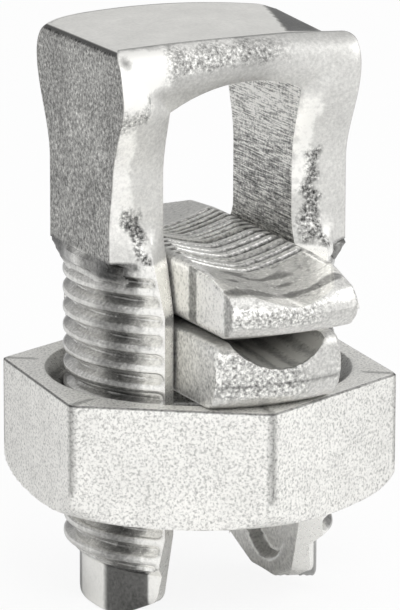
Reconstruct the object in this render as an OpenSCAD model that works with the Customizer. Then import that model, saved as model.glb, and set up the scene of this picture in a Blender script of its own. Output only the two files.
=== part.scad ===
// Split bolt connector: a forged U-shaped bolt with a slotted, threaded shank, a hex nut,
// and two cradle bars that the nut drives up the slot to clamp wires under the head.
// Millimetres. Z is the thread's axis, X runs across the slot, Y runs along the wires.

/* [Thread] */
// Outside diameter of the thread
thread_d = 25.4; // [22:0.1:28]
// Height of the threaded length, up from its lower end
thread_h = 29; // [26:0.5:31]
// Diameter of the plain pilot under the thread
pilot_d = 22.4; // [20:0.1:24]
// Height of the pilot on the longer leg
pilot_h = 4.6; // [3.5:0.1:8]
// Height of the cone from the pilot up to the thread
lead_in_h = 1.2; // [0.5:0.1:2]
// How much shorter the other leg is cut
leg_step = 1.1; // [0:0.1:2]

/* [Slot] */
// Width of the slot between the legs
slot_w = 13.1; // [11:0.1:14]
// Half length of the slot's flat face on the threaded legs, before the corner strips
slot_face_y = 8.3; // [7.5:0.1:8.8]
// Width of the plain strip that takes off each leg's sharp slot corner
strip_w = 2.1; // [1:0.1:2.6]
// Radius of the staked dimple in each slot face that keeps the nut on
stake_r = 4.2; // [2:0.1:5]
// Depth of the staked dimple
stake_depth = 1.1; // [0.4:0.1:1.6]

/* [Head] */
// Distance across the outer faces of the two legs
body_w = 24.4; // [23:0.1:26]
// Depth of a leg front to back, above the thread
shank_d = 13.1; // [12:0.1:14]
// Depth of the head front to back at its widest
head_d = 18.9; // [16:0.1:21]
// Depth of the head's flat top
top_d = 13.8; // [11:0.1:15.5]
// Height of the head's top corners above the leg tips
head_top_z = 54.1; // [52:0.1:60]
// Height of the arch's crown above the leg tips
arch_crown_z = 50.5; // [48.5:0.1:51]
// Height of the window's upper corners above the leg tips
arch_corner_z = 48.1; // [46:0.1:48.3]
// Extra height of the head's top towards its back
top_crown = 0.7; // [0:0.1:1]
// How far the head's back bulges past its corners
back_bulge = 2.4; // [0:0.1:3]
// Drop of the head's top along the edge over the shorter leg
top_roll = 0.9; // [0:0.1:1.2]

/* [Nut] */
// Distance across the nut's flats
nut_af = 32.4; // [30:0.1:36]
// Height of the nut
nut_h = 11.4; // [8:0.1:12]
// Height of the nut's underside above the leg tips, as it stands
nut_z = 10.6; // [10:0.1:12]
// Turn of the nut's corners from the slot
nut_turn_deg = 25.6; // [0:0.1:60]
// Height of the turned round on the nut's lower corners
nut_round_h = 2.6; // [1.5:0.1:4]
// Radius of the nut's flat underside
nut_rim_r = 15.3; // [14.4:0.1:16]
// Radius of the countersink in the nut's top
csk_r = 14.4; // [13.6:0.1:15.2]

/* [Pressure bar] */
// Length of the pressure bar at its sides
press_len = 33.4; // [30:0.1:36]
// Height of the pressure bar at its rims
press_h = 6.3; // [5.5:0.1:7]
// Radius of the groove along the pressure bar
groove_r = 6; // [5.5:0.1:8]
// Depth of the groove below the rims
groove_depth = 2; // [1.2:0.1:2.4]

/* [Spacer bar] */
// Length of the spacer bar at its sides
spacer_len = 39; // [36:0.1:44]
// Height of the spacer bar from its keel to its rims
spacer_h = 7.8; // [7:0.1:9]
// Radius of the keel that rocks in the pressure bar's groove
keel_r = 10; // [9:0.5:14]
// Radius of the wire cradle across the spacer bar
cradle_r = 11.5; // [10:0.5:20]
// Depth of the cradle below the rims at mid-length
cradle_depth = 1; // [0.6:0.1:1.4]
// Number of ribs across the cradle
ribs = 14; // [8:1:16]
// Spacing of the ribs
rib_pitch = 1.45; // [1.2:0.05:1.6]
// Radius of the round grooves that leave the ribs standing
rib_groove_r = 0.36; // [0.2:0.02:0.5]
// How far the loose spacer bar sits forward of centre
spacer_shift = 0.7; // [0:0.1:1]

/* [Fits] */
// Gap between each bar and each slot face
bar_gap = 0.25; // [0.1:0.05:0.5]
// Radial gap between the nut's bore and the thread's crests
thread_gap = 0.08; // [0.05:0.01:0.2]
// Gap between stacked pieces at rest
seat_gap = 0.05; // [0.02:0.01:0.2]

/* [Hidden] */
$fn = 96;
eps = 0.01;
far = 60;
tin = [0.80, 0.79, 0.77];
slot_x = slot_w / 2;
face_x = body_w / 2;
thread_r = thread_d / 2;
pilot_r = pilot_d / 2;
bar_x = slot_x - bar_gap;
thread_low_z = pilot_h;
thread_top_z = pilot_h + thread_h;
nut_top_z = nut_z + nut_h;

function mix(a, b, t) = a + (b - a) * t;
function smooth(t) = let (u = min(1, max(0, t))) u * u * (3 - 2 * u);

// ---- Head: rings lofted along the U, from one leg over the arch to the other ----
neck_z = thread_top_z + 0.05;    // up to here the loft is a plug inside the threaded legs
neck_inset = 0.5;                // how far the plug stays inside the legs' walls
face_low_z = thread_top_z + 0.7; // the flat outer face starts just above the thread
front_blend_z = face_low_z + 3.6; // the leg's front has turned from round to square here
back_blend_z = face_low_z + 1.8; // and its back here
waist_z = front_blend_z + 4;     // the flare to the head starts here
belly_z = head_top_z - 2.8;      // the head is deepest here
corner_r = 0.8;                  // small round where top and outer faces meet
edge_soft = 0.45;                // how much the leg's inner front edges fall back
arch_shift = 1.2;                // the arch is highest a little off centre
side_steps = 9;                  // points across the front or back of a ring
face_steps = 5;                  // points across the outer face of a ring
slot_steps = 3;                  // points across the slot face of a ring

// Half depth of the head at a height
function half_depth(z) =
    z <= belly_z
        ? mix(shank_d / 2, head_d / 2, smooth((z - waist_z) / (belly_z - waist_z)))
        : mix(top_d / 2, head_d / 2,
              sqrt(max(0, 1 - pow((z - belly_z) / (head_top_z - belly_z), 2))));

// Slot-side outline: up a leg, along the arch, down the other leg
arch_rise = arch_crown_z - arch_corner_z;
arch_half = slot_x + arch_shift;
arch_r = (arch_half * arch_half + arch_rise * arch_rise) / (2 * arch_rise);
function arch_z(x) =
    arch_crown_z - arch_r + sqrt(arch_r * arch_r - pow(x - arch_shift, 2));

leg_rings = 10;
corner_rings = 6;
top_rings = 16;
// Each station is [inner x, inner z, outer x, outer z] on the left half or across the top
leg_heights = concat([thread_top_z - 1.5, neck_z, neck_z + 0.3, face_low_z],
    [for (i = [1 : leg_rings - 1]) mix(face_low_z, arch_corner_z - 3, i / leg_rings)]);
leg_stations = [for (z = leg_heights) [-slot_x, z, -face_x, z]];
side_stations = [for (i = [0 : corner_rings - 1])
    let (t = i / corner_rings)
    [-slot_x, mix(arch_corner_z - 3, arch_z(-slot_x), t),
     -face_x, mix(arch_corner_z - 3, head_top_z - corner_r, t)]];
bend_stations = [for (i = [0 : 4])
    let (a = 90 * i / 4)
    [mix(-slot_x, -slot_x + 0.5, i / 4), arch_z(mix(-slot_x, -slot_x + 0.5, i / 4)),
     -face_x + corner_r * (1 - cos(a)), head_top_z - corner_r * (1 - sin(a))]];
top_stations = [for (i = [1 : top_rings - 1])
    let (xi = mix(-slot_x + 0.5, slot_x - 0.5, i / top_rings),
         xo = mix(-face_x + corner_r, face_x - corner_r, i / top_rings))
    [xi, arch_z(xi), xo, head_top_z]];
function mirrored(list) = [for (i = [len(list) - 1 : -1 : 0])
    let (s = list[i])
    [-s[0], s[1] >= arch_corner_z - 3 ? s[1] + (arch_z(slot_x) - arch_z(-slot_x))
        * smooth((s[1] - arch_corner_z + 3) / 3) : s[1], -s[2], s[3]]];
left_stations = concat(leg_stations, side_stations, bend_stations);
stations = concat(left_stations, top_stations, mirrored(left_stations));

// Height added to the head's top: a crown towards the back, a roll at the shorter leg's edge
function top_lift(x, y, z) =
    let (near_top = smooth((z - belly_z) / (head_top_z - belly_z)),
         across = 1 - pow(x / face_x, 2),
         back = smooth((y + top_d / 2) / top_d),
         edge = smooth((x - 3 - 0.45 * y) / (face_x - 4)),
         mid = smooth((y + top_d / 2 + 0.6) / 5))
    near_top * (top_crown * max(0, across) * mix(0.45, 1, back) - top_roll * edge * mid);

// The head's back bulges between its corners, most at the top
bulge_x = -5;
function bulge(x, y, z) =
    let (span = x < bulge_x ? -face_x - bulge_x : face_x - bulge_x)
    y <= 0 ? 0 : back_bulge * smooth((z - waist_z - 5) / (belly_z - waist_z - 5))
        * max(0, 1 - pow(abs(x - bulge_x) / span, x < bulge_x ? 4 : 2.2));

// A point of the squared ring, s from the slot face (0) to the outer face (1)
function square_point(st, s, side) =
    let (x = mix(st[0], st[2], s), z = mix(st[1], st[3], s),
         soft = edge_soft * pow(1 - s, 2) * (1 + 1.6 * smooth((z - waist_z) / 8)),
         y = side * (half_depth(z) - soft))
    [x, y + bulge(x, y, z), z + top_lift(x, y, z)];

// The same point on the round threaded shank
strip_x = slot_x + strip_w * cos(42);
strip_y = sqrt(thread_r * thread_r - strip_x * strip_x);
strip_deg = atan2(strip_y - slot_face_y, strip_x - slot_x);
lean_deg = 12;                   // the strips lean in at both ends of the thread
lean_h = 4;                      // length of each leaning end
neck_face_y = slot_face_y - lean_h * tan(lean_deg) / cos(strip_deg);
// Where the leaning strip meets the thread at the neck
neck_along = slot_x * cos(strip_deg) + neck_face_y * sin(strip_deg);
neck_run = sqrt(neck_along * neck_along + thread_r * thread_r
    - slot_x * slot_x - neck_face_y * neck_face_y) - neck_along;
round_a0 = atan2(neck_face_y + neck_run * sin(strip_deg), slot_x + neck_run * cos(strip_deg));
round_a1 = asin(shank_d / 2 / thread_r);
function inset(z) = z <= neck_z + eps ? neck_inset : 0;
function round_point(st, s, side) =
    let (dir = st[0] < 0 ? -1 : 1, in = inset(st[1]), r = thread_r - in,
         a = mix(round_a0, round_a1, (s - 0.25) / 0.75),
         x = s < 0.25 ? mix(slot_x + in, r * cos(round_a0), s / 0.25) : r * cos(a),
         y = s < 0.25 ? mix(neck_face_y - in, r * sin(round_a0), s / 0.25) : r * sin(a))
    [dir * x, side * y, st[1]];
function round_face(st, y) =
    [(st[0] < 0 ? -1 : 1) * sqrt(pow(thread_r - inset(st[1]), 2) - y * y), y, st[1]];

// The front and back blend slowly, the outer face turns flat just above the thread
function round_share(z, side) =
    1 - smooth((z - neck_z) / ((side < 0 ? front_blend_z : back_blend_z) - neck_z));
function face_share(z) = 1 - smooth((z - neck_z - 0.3) / (face_low_z - neck_z - 0.3));
function is_leg(st) = st[1] < waist_z;

function side_ring(st, s, side) =
    is_leg(st)
        ? mix(square_point(st, s, side), round_point(st, s, side),
              mix(round_share(st[1], side), face_share(st[1]), smooth((s - 0.7) / 0.3)))
        : square_point(st, s, side);
function face_ring(st, y) =
    let (flat = [st[2], y + bulge(st[2], y, st[3]), st[3] + top_lift(st[2], y, st[3])])
    is_leg(st) ? mix(flat, round_face(st, y), face_share(st[1])) : flat;

function ring(st) =
    let (yo = half_depth(st[3]),
         front = side_ring(st, 0, -1), back = side_ring(st, 0, 1))
    concat(
        [for (i = [0 : side_steps]) side_ring(st, i / side_steps, -1)],
        [for (i = [1 : face_steps]) face_ring(st, mix(-yo, yo, i / (face_steps + 1)))],
        [for (i = [side_steps : -1 : 0]) side_ring(st, i / side_steps, 1)],
        [for (i = [1 : slot_steps]) mix(back, front, i / (slot_steps + 1))]);

module lofted_head() {
    rings = [for (st = stations) ring(st)];
    n = len(rings[0]);
    m = len(rings);
    points = [for (r = rings) each r];
    walls = [for (j = [0 : m - 2], i = [0 : n - 1])
        let (k = (i + 1) % n, a = j * n + i, b = j * n + k, c = a + n, d = b + n)
        each [[a, b, d], [a, d, c]]];
    hub = side_steps + 1 + floor(face_steps / 2); // both end caps fan out from the outer face
    last = (m - 1) * n;
    caps = [for (i = [1 : n - 2])
        let (b = (hub + i) % n, c = (hub + i + 1) % n)
        each [[hub, c, b], [last + hub, last + b, last + c]]];
    polyhedron(points = points, faces = concat(walls, caps), convexity = 6);
}

// ---- Legs: a turned, threaded bar split by the slot ----
module turned_leg(side, step) {
    lead_z = step + thread_low_z;
    difference() {
        union() {
            translate([0, 0, step]) cylinder(h = thread_low_z + eps, r = pilot_r);
            translate([0, 0, lead_z - eps])
                cylinder(h = lead_in_h + eps, r1 = pilot_r, r2 = thread_r);
            translate([0, 0, lead_z + lead_in_h - eps])
                cylinder(h = thread_top_z - lead_z - lead_in_h + eps, r = thread_r);
            under_shoulder();
        }
        translate([-side * (far / 2 - slot_x) - far / 2, -far / 2, -1]) cube([far, far, far]);
    }
}

// The outer face's lower corners stand out past the thread and taper back into it
module under_shoulder() {
    low_r = thread_r - 0.3;
    top_r = thread_r + 1.2;
    taper_h = 2.3;
    skin = 0.06;
    translate([0, 0, face_low_z - taper_h])
        intersection() {
            cylinder(h = taper_h, r1 = low_r, r2 = top_r);
            translate([skin - face_x, skin - shank_d / 2, 0])
                cube([2 * (face_x - skin), shank_d - 2 * skin, taper_h]);
        }
}

module slot_corners() {
    for (sx = [-1, 1], sy = [-1, 1])
        scale([sx, sy, 1])
            translate([slot_x, slot_face_y, 0])
                rotate([0, 0, strip_deg]) {
                    translate([-5, 0, -1]) cube([12, 6, thread_top_z + 2]);
                    translate([-5, 0, thread_low_z + lean_h])
                        rotate([-lean_deg, 0, 0])
                            translate([0, 0, -12]) cube([12, 6, 12]);
                    translate([-5, 0, thread_top_z - lean_h])
                        rotate([lean_deg, 0, 0]) cube([12, 6, 12]);
                }
}

module tip_bevels() {
    bevel_deg = 22;
    for (leg = [[-1, 0], [1, leg_step]], sy = [-1, 1])
        translate([leg[0] * slot_x, 0, leg[1]])
            scale([leg[0], sy, 1])
                translate([0, 2.1, 0])
                    rotate([bevel_deg, 12, 0])
                        translate([-5, -2, -8])
                            cube([16, 16, 8]);
}

module stake_dimples() {
    stake_z = thread_low_z + 0.9;
    for (leg = [[-1, 0], [1, leg_step]])
        translate([leg[0] * (slot_x - eps), -0.8, stake_z + leg[1]])
            rotate([0, leg[0] * 90, 0])
                cylinder(h = stake_depth + eps, r1 = stake_r, r2 = stake_r - 0.9);
}

module bolt_body() {
    color(tin) {
        lofted_head();
        difference() {
            union() {
                turned_leg(-1, 0);
                turned_leg(1, leg_step);
            }
            slot_corners();
            tip_bevels();
            stake_dimples();
        }
    }
}

// ---- Nut ----
nut_bore_r = thread_r + thread_gap;
module hex_nut() {
    hex_r = nut_af / sqrt(3);
    round_w = hex_r + 0.02 - nut_rim_r;
    round_steps = 6;
    csk_h = csk_r - nut_bore_r;
    lower_csk_h = csk_h / 2;
    color(tin)
        translate([0, 0, nut_z])
            difference() {
                intersection() {
                    rotate([0, 0, nut_turn_deg]) cylinder(h = nut_h, r = hex_r, $fn = 6);
                    // turned blank: its lower edge is a quarter of an ellipse
                    rotate_extrude()
                        polygon(concat([[0, nut_h + 1], [0, 0]],
                            [for (i = [0 : round_steps]) let (a = 90 * i / round_steps)
                                [nut_rim_r + round_w * sin(a), nut_round_h * (1 - cos(a))]],
                            [[nut_rim_r + round_w, nut_h + 1]]));
                }
                translate([0, 0, -1]) cylinder(h = nut_h + 2, r = nut_bore_r);
                translate([0, 0, nut_h - csk_h])
                    cylinder(h = csk_h + eps, r1 = nut_bore_r, r2 = csk_r + eps);
                translate([0, 0, -eps])
                    cylinder(h = lower_csk_h, r1 = nut_bore_r + lower_csk_h, r2 = nut_bore_r);
            }
}

// ---- Bars ----
// A bar: a block as wide as the slot allows, its ends turned to a rim about the upright axis.
// The rim is a list of [radius, height], from the bottom up.
module turned_ends(len, rim) {
    top = rim[len(rim) - 1][1];
    intersection() {
        translate([-bar_x, -len / 2 - far / 4, 0]) cube([2 * bar_x, len + far / 2, top]);
        rotate_extrude($fn = 180) polygon(concat([[0, rim[0][1]]], rim, [[0, top]]));
    }
}
// Radius of the rim whose circle crosses the bar's sides at half its length
function rim_radius(len) = sqrt(len * len / 4 + bar_x * bar_x);

press_z = nut_top_z + seat_gap;
press_end = rim_radius(press_len);
groove_axis_z = press_h - groove_depth + groove_r;
module pressure_bar() {
    color(tin)
        translate([0, 0, press_z])
            difference() {
                turned_ends(press_len, [
                    [press_end - 2.1, 0], [press_end - 1, 0.5], [press_end - 0.3, 1.3],
                    [press_end, 2.6], [press_end, press_h - 1.7], [press_end - 0.15, press_h - 0.9],
                    [press_end - 0.5, press_h - 0.35], [press_end - 1.2, press_h]]);
                translate([0, 0, groove_axis_z])
                    rotate([90, 0, 0]) cylinder(h = far, r = groove_r, center = true);
            }
}

// The keel's round underside touches the groove's rims
groove_half_w = sqrt(groove_r * groove_r - pow(groove_r - groove_depth, 2));
keel_z = press_z + press_h + seat_gap
    - (keel_r - sqrt(keel_r * keel_r - groove_half_w * groove_half_w));
spacer_end = rim_radius(spacer_len);
bed_slope = 0.095;                     // the rib bed falls away towards both ends
bed_h = spacer_h - cradle_depth;       // height of the bed above the keel at mid-length
module spacer_bar() {
    color(tin)
        translate([0, -spacer_shift, keel_z])
            difference() {
                intersection() {
                    turned_ends(spacer_len, [
                        [11, 0], [spacer_end - 1.2, 2.4], [spacer_end - 0.35, 3.3],
                        [spacer_end, 4.3], [spacer_end - 0.35, 5.2], [spacer_end - 1.1, 5.95],
                        [spacer_end - 4.4, 7.05], [8, spacer_h - 0.15], [0.1, spacer_h]]);
                    translate([0, 0, keel_r])
                        rotate([90, 0, 0]) cylinder(h = far, r = keel_r, center = true);
                }
                // wire cradle: two sloping cylinders that meet at mid-length
                for (turn = [0, 180]) rotate([0, 0, turn])
                    translate([0, 0, bed_h + cradle_r])
                        rotate([-90 - atan(bed_slope), 0, 0])
                            cylinder(h = far / 2, r = cradle_r);
                // round grooves that leave the ribs between them
                for (i = [0 : ribs - 1])
                    let (y = (i - (ribs - 1) / 2) * rib_pitch)
                    translate([0, y, bed_h - bed_slope * abs(y) + cradle_r])
                        rotate([90, 0, 0])
                            rotate_extrude()
                                translate([cradle_r, 0]) circle(r = rib_groove_r, $fn = 16);
                // bevels along the rims
                for (side = [-1, 1])
                    translate([side * bar_x, 0, spacer_h - 0.55])
                        rotate([0, side * 28, 0])
                            translate([-3, -far / 2, 0]) cube([6, far, 3]);
            }
}

bolt_body();
hex_nut();
pressure_bar();
spacer_bar();
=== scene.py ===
"""Split bolt connector: the forged bolt with its thread, the nut and the two bars, dressed for the render."""
import math

import bpy
import numpy as np
from mathutils import Matrix, Vector, noise


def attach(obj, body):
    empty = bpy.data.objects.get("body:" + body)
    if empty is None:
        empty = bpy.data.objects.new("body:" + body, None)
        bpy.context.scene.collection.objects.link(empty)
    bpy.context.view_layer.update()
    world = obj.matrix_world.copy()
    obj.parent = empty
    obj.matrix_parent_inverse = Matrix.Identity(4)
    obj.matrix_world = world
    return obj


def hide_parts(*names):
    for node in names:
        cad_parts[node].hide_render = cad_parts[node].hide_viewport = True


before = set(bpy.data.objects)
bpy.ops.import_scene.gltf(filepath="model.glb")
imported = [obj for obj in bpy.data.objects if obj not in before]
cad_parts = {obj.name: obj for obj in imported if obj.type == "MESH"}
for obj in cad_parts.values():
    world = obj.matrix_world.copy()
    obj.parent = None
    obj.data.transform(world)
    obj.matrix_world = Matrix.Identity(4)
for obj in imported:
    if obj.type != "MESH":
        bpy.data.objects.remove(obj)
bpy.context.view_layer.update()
MM = 0.001

# ---- Sizes shared with the part's source, in millimetres ----
THREAD_R, PITCH, THREAD_DEPTH = 12.7, 1.8143, 0.82
THREAD_PHASE = 0.072
PILOT_R, PILOT_H, LEAD_H, THREAD_TOP, LEG_STEP = 11.2, 4.6, 1.2, 33.6, 1.1
SLOT_X, SLOT_FACE_Y, STRIP_W, STRIP_OUT_DEG, LEAN_DEG, LEAN_H = 6.55, 8.3, 2.1, 42, 12, 4
STAKE_R, STAKE_DEPTH, STAKE_UP = 4.2, 1.1, 0.9
FACE_X, SHANK_Y, HEAD_Y, TOP_Y = 12.2, 6.55, 9.45, 6.9
HEAD_TOP, CROWN_Z, CORNER_Z, TOP_CROWN, BACK_BULGE, TOP_ROLL = 54.1, 50.5, 48.1, 0.7, 2.4, 0.9
NUT_AF, NUT_H, NUT_Z, NUT_TURN_DEG, NUT_ROUND_H, NUT_RIM_R, CSK_R = 32.4, 11.4, 10.6, 25.6, 2.6, 15.3, 14.4
BAR_X, GAP = 6.3, 0.05
PRESS_LEN, PRESS_H, GROOVE_R, GROOVE_D = 33.4, 6.3, 6.0, 2.0
SPACER_LEN, SPACER_H, KEEL_R, CRADLE_R, CRADLE_D, BED_SLOPE = 39.0, 7.8, 10.0, 11.5, 1.0, 0.095
RIBS, RIB_PITCH, RIB_R, SPACER_SHIFT = 14, 1.45, 0.36, 0.7

NECK_Z = THREAD_TOP + 0.05
FACE_LOW = THREAD_TOP + 0.7
FRONT_BLEND, BACK_BLEND = FACE_LOW + 3.6, FACE_LOW + 1.8
WAIST_Z, BELLY_Z = FACE_LOW + 7.6, HEAD_TOP - 2.8
STRIP_X = SLOT_X + STRIP_W * math.cos(math.radians(STRIP_OUT_DEG))
STRIP_DEG = math.atan2(math.sqrt(THREAD_R ** 2 - STRIP_X ** 2) - SLOT_FACE_Y, STRIP_X - SLOT_X)
CORNER_R, ARCH_SHIFT = 0.8, 1.2
OUTER_A = math.asin(SHANK_Y / THREAD_R)
ROOT_SHARP, THREAD_FADE = 1.7, 1.3                 # how narrow the root is; height over which it runs out
LEG_CENTRE_X = 9.4                                 # point that a leg's sections shrink towards at its tip
TIP_FLAT_Y, TIP_RISE_Y, TIP_FALL_X = 2.1, 0.413, 0.2126
RING_STEP, NUT_RING_STEP = 0.145, 0.15             # height between rings along the thread
NUT_CLEAR, NUT_EDGE = 0.12, 0.22
STRIP_S = 0.25                                     # share of a side's points that lies on the slot's strip

# ---- Tones, from 0 (black) to 1 (white) ----
SATIN_LEFT, SATIN_RIGHT, OUTER_TONE, TOP_TONE, HOLLOW_PAINTED_SHADE, RIM_TONE = 0.85, 0.84, 0.62, 0.94, 0.64, 0.36
SLOT_TONE, SLOT_LOW_TONE, THREAD_TONE, PILOT_TONE, STRIP_HIGHLIGHT_TONE = 0.9, 0.93, 0.95, 1.0, 1.04
NUT_TOP_TONE, NUT_BORE_TONE, NUT_FACE_TONE, NUT_LIT_SIDE_DEG = 0.95, 0.62, 0.89, 244
BAR_TONE, RIB_TONE, SLOPE_TONE, GROOVE_LIT_TONE = 0.84, 0.92, 0.96, 0.94


def smooth(t):
    t = np.clip(t, 0.0, 1.0)
    return t * t * (3 - 2 * t)


def mix(a, b, t):
    return a + (b - a) * t


# ---- The bolt: one ring of points swept from the left tip over the head to the right tip ----
SIDE_S = np.concatenate([[0, 0.03, 0.08, 0.15, 0.21, STRIP_S], np.linspace(STRIP_S, 1, 22)[1:-3],
                         [0.93, 0.965, 0.985, 1.0]])
FACE_U = np.concatenate([[-0.985, -0.95], np.linspace(-0.88, 0.88, 15), [0.95, 0.985]])
SLOT_U = np.concatenate([[0.985, 0.95], np.linspace(0.88, -0.88, 27), [-0.95, -0.985]])
ARCH_RISE, ARCH_HALF = CROWN_Z - CORNER_Z, SLOT_X + ARCH_SHIFT
ARCH_R = (ARCH_HALF ** 2 + ARCH_RISE ** 2) / (2 * ARCH_RISE)


def half_depth(z):
    """Half of the head's depth: waist, flare, belly and the roll over to the top."""
    flare = mix(SHANK_Y, HEAD_Y, smooth((z - WAIST_Z) / (BELLY_Z - WAIST_Z)))
    over = np.sqrt(np.clip(1 - ((z - BELLY_Z) / (HEAD_TOP - BELLY_Z)) ** 2, 0, 1))
    return np.where(z <= BELLY_Z, flare, mix(TOP_Y, HEAD_Y, over))


def arch_z(x):
    """Height of the window's arch."""
    return CROWN_Z - ARCH_R + np.sqrt(ARCH_R ** 2 - (x - ARCH_SHIFT) ** 2)


def top_lift(x, y, z):
    """The top's crown, and its roll at the right end."""
    near = smooth((z - BELLY_Z) / (HEAD_TOP - BELLY_Z))
    back = smooth((y + TOP_Y) / (2 * TOP_Y))
    past = (x - 6.2 - 0.32 * (y + 5.2)) / 4.6        # distance past the line where the flat top breaks
    edge = np.clip(past, 0, 1) ** 0.8
    mid = smooth((y + TOP_Y + 0.6) / 5)
    return near * (TOP_CROWN * np.clip(1 - (x / FACE_X) ** 2, 0, 1) * mix(0.45, 1, back)
                   - TOP_ROLL * edge * mid)


def bulge(x, y, z):
    """The back of the head stands out, most left of its middle."""
    left = x < -5
    u = np.abs(x + 5) / np.where(left, FACE_X - 5, FACE_X + 5)
    fall = np.clip(1 - u ** np.where(left, 4.0, 2.2), 0, 1)
    return np.where(y <= 0, 0, BACK_BULGE * smooth((z - WAIST_Z - 5) / (BELLY_Z - WAIST_Z - 5)) * fall)


def thread_r(ang, z, step, from_strip):
    """Radius of the threaded surface at polar angle ang: wide round crests, narrow roots."""
    u = z / PITCH - ang / (2 * math.pi) + THREAD_PHASE
    root = (0.5 - 0.5 * np.cos(2 * math.pi * u)) ** ROOT_SHARP
    fade = smooth(from_strip / 0.07) * (1 - smooth((z - THREAD_TOP + THREAD_FADE) / THREAD_FADE))
    low = PILOT_H + step
    return np.minimum(THREAD_R - THREAD_DEPTH * root * fade,
                      mix(PILOT_R, THREAD_R, np.clip((z - low) / LEAD_H, 0, 1)))


def shoulder_r(ang, z):
    """The outer face's lower corners taper into the thread."""
    c, s = np.abs(np.cos(ang)), np.abs(np.sin(ang))
    box = np.minimum(FACE_X / np.maximum(c, 1e-3), SHANK_Y / np.maximum(s, 1e-3))
    cone = THREAD_R - 0.3 + 1.5 * (z - FACE_LOW + 2.3) / 2.3
    return np.minimum(box, cone)


def leg_ring(z, d, step):
    """Section of a threaded leg; z is one height or one per point."""
    n = len(SIDE_S)
    z = np.broadcast_to(np.asarray(z, float), (2 * n + len(FACE_U) + len(SLOT_U),))
    lean = math.tan(math.radians(LEAN_DEG)) / math.cos(STRIP_DEG)

    def corner(zz):
        tip = np.clip(PILOT_H + LEAN_H - zz, 0, None)
        top = np.clip(zz - THREAD_TOP + LEAN_H, 0, None)
        return SLOT_FACE_Y - lean * (tip + top)

    def side(zz, sgn):
        yc = corner(zz)
        low = PILOT_H + step
        env = mix(PILOT_R, THREAD_R, np.clip((zz - low) / LEAD_H, 0, 1))
        along = SLOT_X * math.cos(STRIP_DEG) + yc * math.sin(STRIP_DEG)
        run = np.sqrt(along ** 2 + env ** 2 - SLOT_X ** 2 - yc ** 2) - along
        a0 = np.arctan2(yc + run * math.sin(STRIP_DEG), SLOT_X + run * math.cos(STRIP_DEG))
        t = np.clip(SIDE_S / STRIP_S, 0, 1)
        x_s, y_s = SLOT_X + t * run * math.cos(STRIP_DEG), yc + t * run * math.sin(STRIP_DEG)
        a = mix(a0, OUTER_A, np.clip((SIDE_S - STRIP_S) / (1 - STRIP_S), 0, 1))
        polar = np.arctan2(sgn * np.sin(a), d * np.cos(a))
        r = np.maximum(thread_r(polar, zz, step, a0 - a), shoulder_r(a, zz))
        on_strip = SIDE_S <= STRIP_S
        x = np.where(on_strip, x_s, r * np.cos(a))
        y = np.where(on_strip, y_s, r * np.sin(a))
        return np.stack([d * x, sgn * y, zz], 1)

    front = side(z[:n], -1)
    i = n + len(FACE_U)
    zf = z[n:i]
    a = OUTER_A * FACE_U
    polar = np.arctan2(np.sin(a), d * np.cos(a))
    r = np.maximum(thread_r(polar, zf, step, np.ones_like(a)), shoulder_r(a, zf))
    face = np.stack([d * r * np.cos(a), r * np.sin(a), zf], 1)
    back = side(z[i:i + n], 1)[::-1]
    zs = z[i + n:]
    y = corner(zs) * SLOT_U
    dent_r = np.hypot(y + 0.8, zs - (PILOT_H + STAKE_UP + step))
    dent = STAKE_DEPTH * smooth((STAKE_R - dent_r) / 0.9)
    slot = np.stack([d * (SLOT_X + dent), y, zs], 1)
    return np.concatenate([front, face, back, slot])


def tip_z(x, y, step):
    """The sheared tip: it rises away from the middle and falls towards the outer face."""
    return step + np.maximum(0, TIP_RISE_Y * (np.abs(y) - TIP_FLAT_Y) - TIP_FALL_X * (np.abs(x) - SLOT_X))


def head_ring(st, d):
    """Section of the head or a leg's upper part, from the inner point (xi, zi) to the outer one (xo, zo)."""
    xi, zi, xo, zo = st
    leg = zi < WAIST_Z

    def square(s, sgn):
        x, z = mix(xi, xo, s), mix(zi, zo, s)
        up = smooth((z - WAIST_Z) / 8)
        soft = 0.45 * (1 - s) ** 2 * (1 + 1.6 * up)
        crown = 0.42 * 4 * s * (1 - s) if sgn < 0 else 0.2 * 4 * s * (1 - s)
        crown = crown * (1 - 0.7 * smooth((zo - BELLY_Z + 1) / 3))
        outer = 0.0
        if sgn < 0 and d < 0:                          # the left leg's outer front edge stands forward
            outer = 0.8 * s ** 2 * smooth((z - 37.5) / 5) * (1 - smooth((z - 48.5) / 3.5))
        if sgn < 0 and d > 0:                          # the right leg's falls back
            outer = -0.5 * s ** 6 * smooth(xo / 9)
        y = sgn * (half_depth(z) - soft + crown + outer)
        return np.stack([x, y + bulge(x, y, z), z + top_lift(x, y, z)], 1)

    sq_f, sq_b = square(SIDE_S, -1), square(SIDE_S, 1)[::-1]
    y = mix(sq_f[-1, 1], sq_b[0, 1], (FACE_U + 1) / 2)
    face = np.stack([np.full_like(y, xo), y, zo + top_lift(xo, y, zo)], 1)
    face[:, 0] += d * 0.18 * (1 - FACE_U ** 2) * smooth((zo - FACE_LOW) / 6) if zo < CORNER_Z else 0
    slot_t = (1 - SLOT_U) / 2
    if leg:
        ring = leg_ring(zi, d, 0)
        n, m = len(SIDE_S), len(FACE_U)
        fast = 1 - smooth((zi - NECK_Z - 0.3) / (FACE_LOW - NECK_Z - 0.3))
        w = smooth((SIDE_S - 0.7) / 0.3)[:, None]
        slow_f = 1 - smooth((zi - NECK_Z) / (FRONT_BLEND - NECK_Z))
        slow_b = 1 - smooth((zi - NECK_Z) / (BACK_BLEND - NECK_Z))
        sq_f = mix(sq_f, ring[:n], mix(slow_f, fast, w))
        sq_b = mix(sq_b, ring[n + m:2 * n + m], mix(slow_b, fast, w[::-1]))
        face = mix(face, ring[n:n + m], fast)
    slot = mix(sq_b[-1], sq_f[0], slot_t[:, None])
    return np.concatenate([sq_f, face, sq_b, slot])


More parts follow.
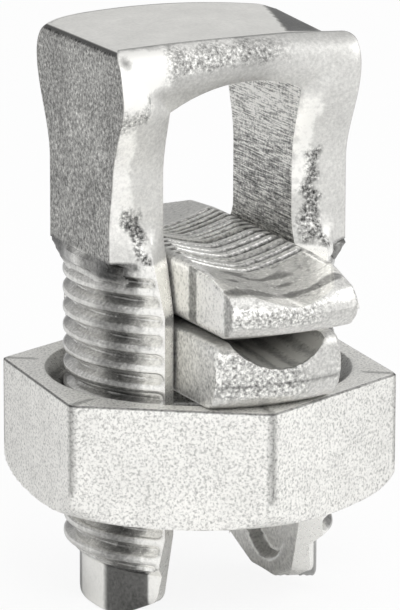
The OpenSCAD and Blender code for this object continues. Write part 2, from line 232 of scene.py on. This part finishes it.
def bolt_rings():
    """Every section of the bolt, in order along the U."""
    rings = []
    for d, step in ((-1, 0.0), (1, LEG_STEP)):
        part = []
        low = PILOT_H + step
        base = leg_ring(3.0, d, step)
        for inset, up in ((0.75, 0.0), (0.5, 0.04), (0.28, 0.14), (0.12, 0.3), (0.03, 0.5), (0, 0.75)):
            z = tip_z(base[:, 0], base[:, 1], step) + up
            ring = leg_ring(z, d, step)
            ring = leg_ring(tip_z(ring[:, 0], ring[:, 1], step) + up, d, step)
            centre = np.array([d * LEG_CENTRE_X, 0])
            away = ring[:, :2] - centre
            size = np.linalg.norm(away, axis=1)[:, None]
            ring[:, :2] = centre + away * (1 - inset / size)
            ring[:, 2] = tip_z(ring[:, 0], ring[:, 1], step) + up
            part.append(ring)
        start = part[-1][:, 2]
        for t in np.linspace(0, 1, 18)[1:]:
            part.append(leg_ring(mix(start, low, t), d, step))
        for z in np.arange(low + 0.08, NECK_Z, RING_STEP):
            part.append(leg_ring(z, d, step))
        lows = [NECK_Z + 0.1, NECK_Z + 0.3]
        lows += list(np.linspace(FACE_LOW, CORNER_Z - 3, 40))
        sts = [(d * SLOT_X, z, d * FACE_X, z) for z in lows]
        drop = 0 if d < 0 else float(arch_z(SLOT_X) - arch_z(-SLOT_X))
        inner = float(arch_z(-SLOT_X))
        for t in np.linspace(0, 1, 16)[1:-1]:
            zi = mix(CORNER_Z - 3, inner, t)
            zi += drop * float(smooth((zi - CORNER_Z + 3) / 3))
            sts.append((d * SLOT_X, zi, d * FACE_X, mix(CORNER_Z - 3, HEAD_TOP - CORNER_R, t)))
        for i in range(9):
            a, xi = math.pi / 2 * i / 8, mix(SLOT_X, SLOT_X - 0.5, i / 8)
            sts.append((d * xi, float(arch_z(d * xi)), d * (FACE_X - CORNER_R * (1 - math.cos(a))),
                        HEAD_TOP - CORNER_R * (1 - math.sin(a))))
        part += [head_ring(st, d) for st in sts]
        if d < 0:
            rings += part
            for t in np.linspace(0, 1, 46)[1:-1]:
                xi = mix(-SLOT_X + 0.5, SLOT_X - 0.5, t)
                xo = mix(-FACE_X + CORNER_R, FACE_X - CORNER_R, t)
                rings.append(head_ring((xi, float(arch_z(xi)), xo, HEAD_TOP), -1 if xo < 0 else 1))
        else:
            rings += part[::-1]
    return np.array(rings)


def tip_cap(ring, d, step):
    """Inner loops that close a leg's tip."""
    loops = []
    centre = np.array([d * LEG_CENTRE_X, 0])
    for f in (0.8, 0.55, 0.3, 0.1):
        loop = ring.copy()
        loop[:, :2] = centre + (ring[:, :2] - centre) * f
        loop[:, 2] = tip_z(loop[:, 0], loop[:, 1], step)
        loops.append(loop)
    return loops


def grid_mesh(name, rings, wrap=False):
    """A mesh from equal closed rings, joined in order.

    wrap joins the last ring to the first; otherwise one face closes each end."""
    m, n = rings.shape[:2]
    verts = (rings.reshape(-1, 3) * MM).tolist()
    faces = []
    for j in range(m - 1):
        for i in range(n):
            k = (i + 1) % n
            faces.append((j * n + i, j * n + k, (j + 1) * n + k, (j + 1) * n + i))
    last = (m - 1) * n
    if wrap:
        faces += [(last + i, last + (i + 1) % n, (i + 1) % n, i) for i in range(n)]
    else:
        faces.append(tuple(range(n - 1, -1, -1)))
        faces.append(tuple(last + i for i in range(n)))
    mesh = bpy.data.meshes.new(name)
    mesh.from_pydata(verts, [], faces)
    mesh.update()
    obj = bpy.data.objects.new(name, mesh)
    bpy.context.scene.collection.objects.link(obj)
    return obj


def finish_mesh(obj, angle=32):
    """Smooth shading, with edges sharper than the angle kept crisp."""
    mesh = obj.data
    mesh.polygons.foreach_set("use_smooth", [True] * len(mesh.polygons))
    mesh.set_sharp_from_angle(angle=math.radians(angle))
    mesh.update()


rings = bolt_rings()
left_cap = tip_cap(rings[0], -1, 0.0)
right_cap = tip_cap(rings[-1], 1, LEG_STEP)
rings = np.concatenate([np.array(left_cap[::-1]), rings, np.array(right_cap)])
bolt = grid_mesh("forged_bolt", rings)
finish_mesh(bolt)


def paint(obj, **values):
    """Stores one number per point under each name, for the materials to read."""
    for name, v in values.items():
        a = obj.data.attributes.new(name, "FLOAT", "POINT")
        a.data.foreach_set("value", np.asarray(v, np.float32).ravel())


def blob(v, low, high, soft):
    """1 between low and high, falling to 0 over soft outside."""
    return smooth((v - low) / soft + 1) * smooth((high - v) / soft + 1)


def bolt_paint():
    """Tone, grain, roughness and scratches over the bolt, by the part of the section and the height."""
    m, n, s_n, f_n = rings.shape[0], rings.shape[1], len(SIDE_S), len(FACE_U)
    x, y, z = rings[..., 0], rings[..., 1], rings[..., 2]
    k = np.arange(n)
    front = np.broadcast_to(k < s_n, (m, n))
    face = np.broadcast_to((k >= s_n) & (k < s_n + f_n), (m, n))
    rear = np.broadcast_to((k >= s_n + f_n) & (k < 2 * s_n + f_n), (m, n))
    s_all = np.concatenate([SIDE_S, np.ones(f_n), SIDE_S[::-1], np.zeros(len(SLOT_U))])
    s = np.broadcast_to(s_all, (m, n))
    left = x < 0
    head = z > FACE_LOW + 0.2
    warp = np.array([noise.noise(Vector(q) / 1.3) + 0.5 * noise.noise(Vector(q) / 0.5)
                     for q in rings.reshape(-1, 3)]).reshape(m, n)
    s_true, s, zw = s, s + 0.13 * warp, z + 1.1 * warp
    tone, grain, rough = np.full((m, n), 0.84), np.full((m, n), 0.05), np.full((m, n), 0.36)
    # satin fronts and backs of the head, with painted highlights and painted shade
    f = (front | rear) & head
    arch = smooth((z - 48.5) / 2.0)
    # painted highlights: along the left leg's outer front edge, and over the upper front of the head's left
    # half
    t = np.where(left, SATIN_LEFT + 0.12 * blob(s, 0.74, 0.95, 0.12) * blob(z, 38, 46, 2.5)
                 + 0.1 * blob(s, 0.5, 0.97, 0.1) * (z > 48), SATIN_RIGHT)
    # a lighter band along the right leg's front by its slot edge
    t = t + np.where(~left, 0.16 * blob(s, 0.05, 0.24, 0.1) * blob(z, 40, 48, 1.5), 0)
    dark = np.where(left, blob(s - 0.4 - 0.05 * (z - FACE_LOW), -0.08, 0.08, 0.12) * blob(zw, 33, 38.5, 1.8),
                    blob(s, 0.2, 0.36, 0.1) * blob(zw, 33, 42.5, 1.2))
    t = t - 0.3 * dark
    fold = left * blob(zw - 0.5 * (x + FACE_X), 47.2, 47.9, 0.7) * blob(x, -12.2, -9.6, 0.6)
    t = t - 0.16 * fold
    # painted shade along the arch's inner edge, where its front turns downwards
    t = t - arch * 0.11 * blob(s, 0.0, 0.42, 0.15) * (1 - smooth((x - 1) / 5))
    band = arch * blob(s, 0.55, 0.86, 0.14) * (1 - smooth((x - 1) / 5)) * smooth((x + 8.5) / 2)
    t = t - 0.2 * band
    # painted highlight at the arch's upper left
    t = t + 0.16 * arch * blob(s, 0.45, 0.9, 0.2) * (1 - smooth((x + 8.3) / 1.6))
    tone = np.where(f, t, tone)
    grain = np.where(f, 0.03 + 0.17 * dark + 0.11 * band + 0.1 * fold, grain)
    rough = np.where(f, 0.42, rough)
    # grainy outer faces
    o = face & head & (np.abs(x) > FACE_X - 0.5)
    tone = np.where(o, OUTER_TONE + 0.05 * blob(y, -4, 1, 3) * blob(z, 44, 52, 3) + 0.06 * warp, tone)
    grain = np.where(o, 0.125, grain)
    rough = np.where(o, 0.5, rough)
    # flat top, with painted shade over the hollow where it rolls off and a painted highlight along the roll's
    # back rim
    s = s_true
    top = face & (z > HEAD_TOP - 1.4) & (np.abs(x) <= FACE_X - 0.2)
    roll = smooth((x - 6.2 - 0.32 * (y + 5.2)) / 0.35) * smooth((y + 6.3) / 0.8)
    rim = roll * smooth((x - 0.3 * y - 11.2) / 1.6)
    # painted shade in the roll, and a painted highlight along its rim
    tone = np.where(top, TOP_TONE - HOLLOW_PAINTED_SHADE * roll + 0.5 * rim, tone)
    tone = np.where(face & left & (z > HEAD_TOP - 0.42) & (x < 0.36 - FACE_X), RIM_TONE, tone)
    grain = np.where(top, 0.012 + 0.1 * roll, grain)
    rough = np.where(top, 0.5 - 0.15 * roll, rough)
    # slot faces: scratched and grainy, dark low down
    slot = ~(front | face | rear)
    tone = np.where(slot, SLOT_TONE - 0.22 * smooth((48 - z) / 9), tone)
    grain = np.where(slot, 0.13, grain)
    tone = np.where(slot & (z < NUT_Z), SLOT_LOW_TONE, tone)
    grain = np.where(slot & (z < NUT_Z), 0.06, grain)
    scratch = 0.3 * slot * (z > NUT_Z + NUT_H)
    # threads: glossy, with a painted dark reflection band down each side
    bare = ~slot & (z <= FACE_LOW + 0.2) & (s > STRIP_S)
    off = np.degrees(np.arctan2(np.abs(y), np.abs(x)))
    deep = np.clip((THREAD_R - np.hypot(x, y)) / THREAD_DEPTH, 0, 1)
    off_true, off = off, off + 5 * warp
    # painted reflection: a dark band 27° from the outer face and a fainter one at 3°; lighter from 41° to 60°
    th = THREAD_TONE - 0.42 * np.exp(-((off - 27) / 11) ** 2) - 0.1 * np.exp(-((off - 3) / 8) ** 2)
    th = th + 0.08 * blob(off, 41, 60, 4)
    # painted shade at the neck under the head's shoulder, strongest on the left leg
    th = th - np.where(left, 0.32, 0.08) * blob(z, 32.9, 34.2, 0.5) * blob(off, 8, 33, 6)
    # painted shade in the thread roots
    tone = np.where(bare, th - 0.06 * deep * (z > PILOT_H + LEAD_H + 1), tone)
    grain = np.where(bare, 0.055, grain)
    rough = np.where(bare, 0.2, rough)
    pilot = bare & (z < PILOT_H + np.where(left, 0, LEG_STEP) + 0.5)
    # the pilot carries the same painted dark reflection band
    tone = np.where(pilot, PILOT_TONE - 0.6 * blob(off_true, 15, 39, 1.5), tone)
    grain = np.where(pilot, 0.03, grain)
    rough = np.where(pilot, 0.16, rough)
    # the slot's strips are painted near white as a painted highlight
    strip = (front | rear) & (z <= FACE_LOW + 0.2) & (s <= STRIP_S)
    tone = np.where(strip, STRIP_HIGHLIGHT_TONE, tone)
    rough = np.where(strip, 0.3, rough)
    # thin dark lines along the crisp edges
    edge = np.zeros((m, n))
    edge[:, [s_n - 1, s_n + f_n]] = 1
    tone = tone - 0.26 * edge * head
    # painted shade of a dimple at the head's upper left front corner
    painted_dimple_shade = front * np.exp(-((x + 11.5) ** 2 + (z - 53.2) ** 2) / 0.35)
    tone = tone - 0.5 * painted_dimple_shade
    paint(bolt, tone=tone, grain=grain, rough=rough, scratch=scratch)


bolt_paint()


# ---- The nut: a turned hexagon with an internal thread ----
def nut_rings():
    """Sections of the nut around its wall: under side, outside, top, countersink and bore."""
    per = 32
    ang = (np.arange(6 * per) / (6 * per)) * 2 * math.pi + math.radians(NUT_TURN_DEG)
    fold = (np.arange(6 * per) / per) % 1.0 * math.radians(60) - math.radians(30)
    hex_r = NUT_AF / math.sqrt(3)
    flat = np.minimum(NUT_AF / 2 / np.cos(fold), hex_r - 0.1)
    ca, sa = np.cos(ang), np.sin(ang)
    bore = THREAD_R + NUT_CLEAR

    def ring(r, z):
        r, z = np.broadcast_to(r, ang.shape), np.broadcast_to(z, ang.shape)
        return np.stack([r * ca, r * sa, NUT_Z + z], 1)

    def thread(z):
        u = (NUT_Z + z) / PITCH - ang / (2 * math.pi) + THREAD_PHASE
        return bore - THREAD_DEPTH * (0.5 - 0.5 * np.cos(2 * math.pi * u)) ** ROOT_SHARP

    csk = CSK_R - bore
    out = [ring(bore + csk / 2, 0.0), ring(mix(bore + csk / 2, NUT_RIM_R, 0.5), 0.0)]
    width = hex_r + 0.02 - NUT_RIM_R
    for a in np.linspace(0, math.pi / 2, 12):
        out.append(ring(np.minimum(flat, NUT_RIM_R + width * math.sin(a)), NUT_ROUND_H * (1 - math.cos(a))))
    for z in np.linspace(NUT_ROUND_H, NUT_H - NUT_EDGE, 14)[1:]:
        out.append(ring(flat, z))
    for a in (30, 60, 90):
        a = math.radians(a)
        out.append(ring(flat - 0.2 * (1 - math.cos(a)), NUT_H - NUT_EDGE + NUT_EDGE * math.sin(a)))
    for t in np.linspace(0, 1, 7)[1:]:
        out.append(ring(mix(flat - 0.2, CSK_R + 0.08, t), NUT_H))
    for t in (0.04, 0.25, 0.5, 0.75):
        out.append(ring(np.maximum(CSK_R - csk * t, thread(NUT_H - csk * t)), NUT_H - csk * t))
    for z in np.arange(NUT_H - csk, csk / 2, -NUT_RING_STEP):
        out.append(ring(thread(z), z))
    for t in (0.3, 0.65, 1):
        out.append(ring(np.maximum(bore + csk / 2 * t, thread(csk / 2 * (1 - t))), csk / 2 * (1 - t)))
    return np.array(out)


nut_grid = nut_rings()
nut = grid_mesh("threaded_nut", nut_grid, wrap=True)
finish_mesh(nut, 28)


# ---- The bars: an upper and a lower surface over a plan with round ends, joined by a wall ----
def bar_mesh(name, rim_r, rows, top, bottom, place):
    """A bar between two height functions, moved to its place."""
    corner = math.sqrt(rim_r ** 2 - BAR_X ** 2)
    ends = [rim_r * math.cos(a) for a in np.linspace(0, math.asin(BAR_X / rim_r), 14)]
    ends = np.array(ends)[:-1]
    ys = np.concatenate([-ends, np.linspace(-corner, corner, rows), ends[::-1]])
    us = np.concatenate([np.linspace(-1, -0.9, 7)[:-1], np.linspace(-0.9, 0.9, 45),
                         np.linspace(0.9, 1, 7)[1:]])
    half = np.minimum(BAR_X, np.sqrt(np.clip(rim_r ** 2 - ys ** 2, 1e-6, None)))
    x = half[:, None] * us[None, :]
    y = np.repeat(ys[:, None], len(us), 1)
    r = np.hypot(x, y)
    up, low = top(x, y, r), bottom(x, y, r)
    nr, nc = x.shape
    pts = [np.stack([x, y, up], 2).reshape(-1, 3), np.stack([x, y, low], 2).reshape(-1, 3)]
    idx = np.arange(nr * nc).reshape(nr, nc)
    faces = []
    for j in range(nr - 1):
        for i in range(nc - 1):
            a, b, c, e = idx[j, i], idx[j, i + 1], idx[j + 1, i + 1], idx[j + 1, i]
            faces.append((a, b, c, e))
            faces.append((a + nr * nc, e + nr * nc, c + nr * nc, b + nr * nc))
    loop = ([(0, i) for i in range(nc)] + [(j, nc - 1) for j in range(1, nr)]
            + [(nr - 1, i) for i in range(nc - 2, -1, -1)] + [(j, 0) for j in range(nr - 2, 0, -1)])
    top_i = [idx[q] for q in loop]
    steps = 7
    count = 2 * nr * nc
    wall = [[t + nr * nc for t in top_i]]
    for k in range(1, steps):
        t = k / steps
        pts.append(np.array([mix(pts[1][v], pts[0][v], t) for v in top_i]))
        wall.append(list(range(count, count + len(loop))))
        count += len(loop)
    wall.append(top_i)
    for k in range(steps):
        for i in range(len(loop)):
            j = (i + 1) % len(loop)
            faces.append((wall[k][i], wall[k][j], wall[k + 1][j], wall[k + 1][i]))
    p = np.concatenate(pts) + np.array(place)
    mesh = bpy.data.meshes.new(name)
    mesh.from_pydata((p * MM).tolist(), [], faces)
    obj = bpy.data.objects.new(name, mesh)
    bpy.context.scene.collection.objects.link(obj)
    mesh.update()
    finish_mesh(obj, 40)
    return obj


def edge_drop(x, width):
    """Rounds a bar's long edges over the given width."""
    d = np.clip((np.abs(x) - BAR_X + width) / width, 0, 1)
    return width * (1 - np.sqrt(1 - d ** 2))


PRESS_END = math.hypot(PRESS_LEN / 2, BAR_X)
SPACER_END = math.hypot(SPACER_LEN / 2, BAR_X)
PRESS_Z = NUT_Z + NUT_H + GAP
GROOVE_HALF = math.sqrt(GROOVE_R ** 2 - (GROOVE_R - GROOVE_D) ** 2)
KEEL_Z = PRESS_Z + PRESS_H + GAP - (KEEL_R - math.sqrt(KEEL_R ** 2 - GROOVE_HALF ** 2))


def press_top(x, y, r):
    """The groove that the keel beds in, with its lip eased towards the turned ends."""
    rim = np.interp(r, [PRESS_END - 1.2, PRESS_END - 0.5, PRESS_END - 0.15, PRESS_END],
                    [PRESS_H, PRESS_H - 0.35, PRESS_H - 0.9, PRESS_H - 1.7])
    groove = PRESS_H - GROOVE_D + GROOVE_R - np.sqrt(np.clip(GROOVE_R ** 2 - x ** 2, 0, None))
    groove = groove - 0.5 * smooth((r - PRESS_END + 5.5) / 5.3) + 0.05 * np.sin(x * 5.2 + np.sin(y * 0.5))
    return np.minimum(rim, np.where(np.abs(x) < GROOVE_HALF, groove, 99)) - edge_drop(x, 0.45)


def press_bottom(x, y, r):
    """The flat under side and its turned ends."""
    rim = np.interp(r, [PRESS_END - 2.1, PRESS_END - 1, PRESS_END - 0.3, PRESS_END], [0, 0.5, 1.3, 2.6])
    return rim + edge_drop(x, 0.4) * 0.8


def rib_offset(y):
    """Signed distance along y to the nearest rib groove of the spacer."""
    k = np.clip(np.round(y / RIB_PITCH + (RIBS - 1) / 2), 0, RIBS - 1)
    return y - (k - (RIBS - 1) / 2) * RIB_PITCH


def spacer_top(x, y, r):
    """The sloping ends, the cradle and its ribs."""
    e = SPACER_END
    rim = np.interp(r, [0, 8, e - 4.4, e - 1.1, e - 0.35, e], [7.8, 7.65, 7.05, 5.95, 5.2, 4.3])
    bed = SPACER_H - CRADLE_D - BED_SLOPE * np.abs(y)
    round_bed = CRADLE_R - np.sqrt(CRADLE_R ** 2 - x ** 2)
    flat_bed = 1.88 * np.sqrt(x ** 2 + 0.16) / BAR_X
    cradle = bed + mix(round_bed, flat_bed, 0.6)
    inside = smooth((BAR_X - 0.5 - np.abs(x)) / 0.35)
    groove = np.sqrt(np.clip(RIB_R ** 2 - rib_offset(y) ** 2, 0, None)) * inside
    bevel = SPACER_H - 0.55 + (BAR_X - np.abs(x)) * math.tan(math.radians(28))
    return np.minimum(np.minimum(rim, cradle - groove), bevel) - edge_drop(x, 0.3)


def spacer_bottom(x, y, r):
    """The round keel and the turned ends."""
    e = SPACER_END
    rim = np.interp(r, [11, e - 1.2, e - 0.35, e], [0, 2.4, 3.3, 4.3])
    keel = KEEL_R - np.sqrt(KEEL_R ** 2 - x ** 2)
    return np.maximum(rim, keel) + edge_drop(x, 0.3)


press = bar_mesh("pressure_saddle", PRESS_END, 90, press_top, press_bottom, (0, 0, PRESS_Z))
spacer = bar_mesh("spacer_saddle", SPACER_END, 250, spacer_top, spacer_bottom,
                  (0, -SPACER_SHIFT, KEEL_Z))


def nut_paint():
    """Speckled faces, painted lighter towards the front as painted light; a darker countersink and bore; thin
    dark lines along the top and the corners.
    """
    p = nut_grid
    r, z = np.hypot(p[..., 0], p[..., 1]), p[..., 2] - NUT_Z
    top = (z > NUT_H - 0.05) & (r > CSK_R)
    ang = np.degrees(np.arctan2(p[..., 1], p[..., 0])) - NUT_TURN_DEG
    corner = blob(np.abs(ang % 60 - 30), 29.2, 31, 0.5) * (r > CSK_R + 1) * (z > NUT_ROUND_H)
    # painted light: faces turned towards the front are painted a little lighter
    turned = np.cos(np.radians(ang + NUT_TURN_DEG - NUT_LIT_SIDE_DEG))
    cone = (z > NUT_H - 2) & (r < CSK_R) | (r < THREAD_R + 0.3)
    tone = np.where(top, NUT_TOP_TONE, np.where(cone, NUT_BORE_TONE, NUT_FACE_TONE + 0.05 * turned))
    grain = np.where(top, 0.12, np.where(cone, 0.1, 0.115))
    edge = (z < NUT_H - 0.02) & (z > NUT_H - 0.2) & (r > CSK_R)
    paint(nut, tone=tone - 0.4 * edge - 0.26 * corner, grain=grain, rough=np.where(cone, 0.3, 0.46))


def bar_paint(obj, end_r, rib_bed):
    """Ends and sides; then the spacer's ribbed bed and front slope, or the groove and line of the other bar."""
    p = np.array([v.co[:] for v in obj.data.vertices]) / MM
    x, y = p[:, 0], p[:, 1] + (SPACER_SHIFT if rib_bed else 0)
    r = np.hypot(x, y)
    end = smooth((r - end_r + 0.5) / 0.3)
    tone = BAR_TONE - 0.04 * end
    grain = 0.05 + 0.11 * end * (1 - smooth((x - 0.5) / 3))
    rough = 0.34 + 0.08 * end
    side = smooth((np.abs(x) - BAR_X + 0.2) / 0.15)
    tone, grain = tone + (0.14 if rib_bed else 0.06) * side, grain + 0.04 * side
    if rib_bed:
        bed = blob(y, -10.2, 10.2, 0.4) * (p[:, 2] > KEEL_Z + 5) * smooth((BAR_X - 0.5 - np.abs(x)) / 0.3)
        # painted shade in the rib valleys; the bed's left half is a little lighter
        rib_valley_shade = smooth((RIB_R + 0.12 - np.abs(rib_offset(y))) / 0.25)
        tone = mix(tone, RIB_TONE + 0.07 * smooth(-x / 0.6) - 0.5 * rib_valley_shade, bed * (1 - side))
        grain = mix(grain, 0.1, bed)
        slope = (y < -10.4) & (p[:, 2] > KEEL_Z + 4.8) & (side < 0.5)
        patch = np.array([noise.noise(Vector((a * 0.3, b * 0.55, 4.2))) for a, b in zip(x, y)])
        swirl = np.array([noise.noise(Vector((a * 0.35, b * 0.5, 9.7))) for a, b in zip(x, y)])
        tone = np.where(slope, SLOPE_TONE - 0.34 * smooth((patch - 0.06) / 0.2)
                        - 0.2 * np.exp(-(swirl / 0.025) ** 2), tone)
        rough = np.where(slope, 0.22, rough)
        # painted shade of the left leg on the spacer's left side, with a second dark stripe nearer the end
        tone = tone - side * (x < 0) * (0.42 * blob(y, -11.6, -10.6, 0.6) + 0.3 * blob(y, -18.9, -17.9, 0.6))
    else:
        line = np.exp(-((p[:, 2] - PRESS_Z - 2.45) / 0.16) ** 2) * end
        tone = tone - 0.22 * line
        # the groove is painted lighter as painted light where the keel's shadow falls, with wavy lighter and
        # darker lines
        groove = (np.abs(x) < GROOVE_HALF) & (p[:, 2] > PRESS_Z + 3) & (end < 0.5)
        tone = np.where(groove, GROOVE_LIT_TONE + 0.16 * np.sin(x * 3.3 + 1.2 * np.sin(y * 0.35)), tone)
    paint(obj, tone=tone, grain=grain, rough=rough)


nut_paint()
bar_paint(press, PRESS_END, False)
bar_paint(spacer, SPACER_END, True)


# ---- Tin plate ----
METAL, BUMP, BUMP_MM = 0.75, 0.35, 0.35
PATCH_MM, LINE_MM, LINE_TILT = 3.2, 0.22, math.radians(35)
DARKEST, GREEN, BLUE = 0.12, 0.992, 0.958          # the lowest tone; a slightly warm grey


def tin(name, grain_mm, cap):
    """Plated metal: the mesh's tone, speckled by its grain; cap limits how light a speck gets."""
    mat = bpy.data.materials.new(name)
    mat.use_nodes = True
    nt = mat.node_tree
    new, link = nt.nodes.new, nt.links.new
    bsdf = nt.nodes["Principled BSDF"]

    def attr(key):
        a = new("ShaderNodeAttribute")
        a.attribute_name = key
        return a.outputs["Fac"]

    def calc(op, a, b=None, c=None, clamp=False):
        q = new("ShaderNodeMath")
        q.operation, q.use_clamp = op, clamp
        for i, v in enumerate((a, b, c)):
            if v is None:
                continue
            if isinstance(v, (int, float)):
                q.inputs[i].default_value = v
            else:
                link(v, q.inputs[i])
        return q.outputs[0]

    coord = new("ShaderNodeTexCoord").outputs["Object"]

    def cloud(size_mm, detail, stretch=None, rough=0.6):
        src = coord
        if stretch:
            mp = new("ShaderNodeMapping")
            mp.inputs["Rotation"].default_value = stretch[0]
            mp.inputs["Scale"].default_value = stretch[1]
            link(coord, mp.inputs["Vector"])
            src = mp.outputs["Vector"]
        t = new("ShaderNodeTexNoise")
        t.inputs["Scale"].default_value = 1 / (size_mm * MM)
        t.inputs["Detail"].default_value = detail
        t.inputs["Roughness"].default_value = rough
        link(src, t.inputs["Vector"])
        return t.outputs["Fac"]

    speck = cloud(grain_mm, 3.0, rough=0.7)
    patch = cloud(PATCH_MM, 2.0)
    tone, grain = attr("tone"), attr("grain")
    sharp = calc("MINIMUM", calc("MULTIPLY", calc("SUBTRACT", speck, 0.5), 11.0), cap)
    lines = cloud(LINE_MM, 3.0, ((LINE_TILT, 0, 0), (1, 0.1, 1.6)), 0.75)
    speckled = calc("MULTIPLY_ADD", sharp, grain, tone)
    lined = calc("MULTIPLY", calc("SUBTRACT", lines, 0.5), 8.0)
    speckled = calc("MULTIPLY_ADD", lined, attr("scratch"), speckled)
    value = calc("MULTIPLY_ADD", calc("SUBTRACT", patch, 0.5), 0.09, speckled, clamp=True)
    lin = calc("POWER", calc("MAXIMUM", value, DARKEST), 2.2)
    tint = new("ShaderNodeCombineColor")
    link(lin, tint.inputs[0])
    link(calc("MULTIPLY", lin, GREEN), tint.inputs[1])
    link(calc("MULTIPLY", lin, BLUE), tint.inputs[2])
    link(tint.outputs[0], bsdf.inputs["Base Color"])
    bsdf.inputs["Metallic"].default_value = METAL
    rough = calc("MULTIPLY_ADD", calc("SUBTRACT", speck, 0.5), 0.35, attr("rough"), clamp=True)
    link(calc("MAXIMUM", rough, 0.08), bsdf.inputs["Roughness"])
    height = calc("ADD", calc("MULTIPLY", speck, grain), calc("MULTIPLY", patch, 0.12))
    b = new("ShaderNodeBump")
    b.inputs["Strength"].default_value = BUMP
    b.inputs["Distance"].default_value = BUMP_MM * MM
    link(height, b.inputs["Height"])
    link(b.outputs["Normal"], bsdf.inputs["Normal"])
    return mat


for piece, body, node, slot, grain_mm, cap in ((bolt, "bolt", "bolt_body", "forged_tin", 0.32, 3.0),
                                               (nut, "nut", "hex_nut", "nut_tin", 0.25, 0.4),
                                               (press, "clamp", "pressure_bar", "bar_tin", 0.32, 3.0),
                                               (spacer, "spacer", "spacer_bar", "bar_tin", 0.32, 3.0)):
    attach(piece, body)
    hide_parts(node)
    piece.data.materials.append(tin(slot + "_" + piece.name, grain_mm, cap))

# ---- Camera, floor and light ----
CAM_TURN, CAM_TILT, CAM_ROLL = math.radians(25.8), math.radians(14.011), math.radians(0.127)
CAM_FAR, CAM_LENS, AIM_RIGHT, AIM_UP = 432.946, 273.54, 0.132, 27.811
turn = Matrix(((math.cos(CAM_TURN), math.sin(CAM_TURN), 0),
               (-math.sin(CAM_TURN), math.cos(CAM_TURN), 0),
               (0, 0, 1)))
back = turn @ Vector((0, -math.cos(CAM_TILT), math.sin(CAM_TILT)))
right = turn @ Vector((1, 0, 0))
up = back.cross(right)
right, up = (right * math.cos(CAM_ROLL) + up * math.sin(CAM_ROLL),
             up * math.cos(CAM_ROLL) - right * math.sin(CAM_ROLL))
cam = bpy.data.objects.new("camera", bpy.data.cameras.new("camera"))
bpy.context.scene.collection.objects.link(cam)
target = turn @ Vector((AIM_RIGHT, 0, 0)) + Vector((0, 0, AIM_UP))
cam.matrix_world = (Matrix.Translation((target + back * CAM_FAR) * MM)
                    @ Matrix((right, up, back)).transposed().to_4x4())
cam.data.sensor_width = 36
cam.data.lens = CAM_LENS
cam.data.clip_start, cam.data.clip_end = 0.01, 20
bpy.context.scene.camera = cam

FLOOR_GLOW = 0.9                                   # the rest keeps the object's soft shadow
bpy.ops.mesh.primitive_plane_add(size=4, location=(0, 0, 0))
floor = bpy.context.object
floor.name = "floor"
fmat = bpy.data.materials.new("floor_pale")
fmat.use_nodes = True
nt = fmat.node_tree
bsdf = nt.nodes["Principled BSDF"]
bsdf.inputs["Base Color"].default_value = (0.9, 0.9, 0.9, 1)
bsdf.inputs["Roughness"].default_value = 0.9
glow, both = nt.nodes.new("ShaderNodeEmission"), nt.nodes.new("ShaderNodeMixShader")
path, share = nt.nodes.new("ShaderNodeLightPath"), nt.nodes.new("ShaderNodeMath")
share.operation = "MULTIPLY"
share.inputs[1].default_value = FLOOR_GLOW
nt.links.new(path.outputs["Is Camera Ray"], share.inputs[0])
nt.links.new(share.outputs[0], both.inputs["Fac"])
nt.links.new(bsdf.outputs[0], both.inputs[1])
nt.links.new(glow.outputs[0], both.inputs[2])
nt.links.new(both.outputs[0], nt.nodes["Material Output"].inputs["Surface"])
floor.data.materials.append(fmat)

# The world: white to the camera, and to everything else a room that is brightest in front
ROOM_BRIGHT_SIDE, ROOM_DIM, ROOM_BRIGHT = (-0.12, -0.93, 0.34), 0.46, 0.98
world = bpy.data.worlds.new("studio")
bpy.context.scene.world = world
world.use_nodes = True
nt = world.node_tree
new, link = nt.nodes.new, nt.links.new
room, white = nt.nodes["Background"], new("ShaderNodeBackground")
dot, curve, pick, cam_ray = (new("ShaderNodeVectorMath"), new("ShaderNodeMapRange"),
                             new("ShaderNodeMixShader"), new("ShaderNodeLightPath"))
dot.operation = "DOT_PRODUCT"
dot.inputs[1].default_value = ROOM_BRIGHT_SIDE
link(new("ShaderNodeTexCoord").outputs["Generated"], dot.inputs[0])
link(dot.outputs["Value"], curve.inputs["Value"])
curve.interpolation_type = "SMOOTHSTEP"
for key, v in (("From Min", -0.9), ("From Max", 0.95), ("To Min", ROOM_DIM), ("To Max", ROOM_BRIGHT)):
    curve.inputs[key].default_value = v
link(curve.outputs["Result"], room.inputs["Strength"])
link(cam_ray.outputs["Is Camera Ray"], pick.inputs["Fac"])
link(room.outputs[0], pick.inputs[1])
link(white.outputs[0], pick.inputs[2])
link(pick.outputs[0], nt.nodes["World Output"].inputs["Surface"])
room.inputs["Color"].default_value = (1, 1, 1, 1)
white.inputs["Color"].default_value = (1, 1, 1, 1)

for name, place, size, watts in (("key", (-0.12, -0.42, 0.38), 0.2, 0.7),
                                 ("side", (0.45, -0.12, 0.3), 0.3, 0.6)):
    lamp = bpy.data.objects.new(name, bpy.data.lights.new(name, "AREA"))
    lamp.data.size = size
    lamp.data.energy = watts
    lamp.location = place
    lamp.rotation_mode = "QUATERNION"
    lamp.rotation_quaternion = (Vector(place) - Vector((0, 0, 0.03))).to_track_quat("Z", "Y")
    bpy.context.scene.collection.objects.link(lamp)

bpy.context.scene.view_settings.view_transform = "Standard"
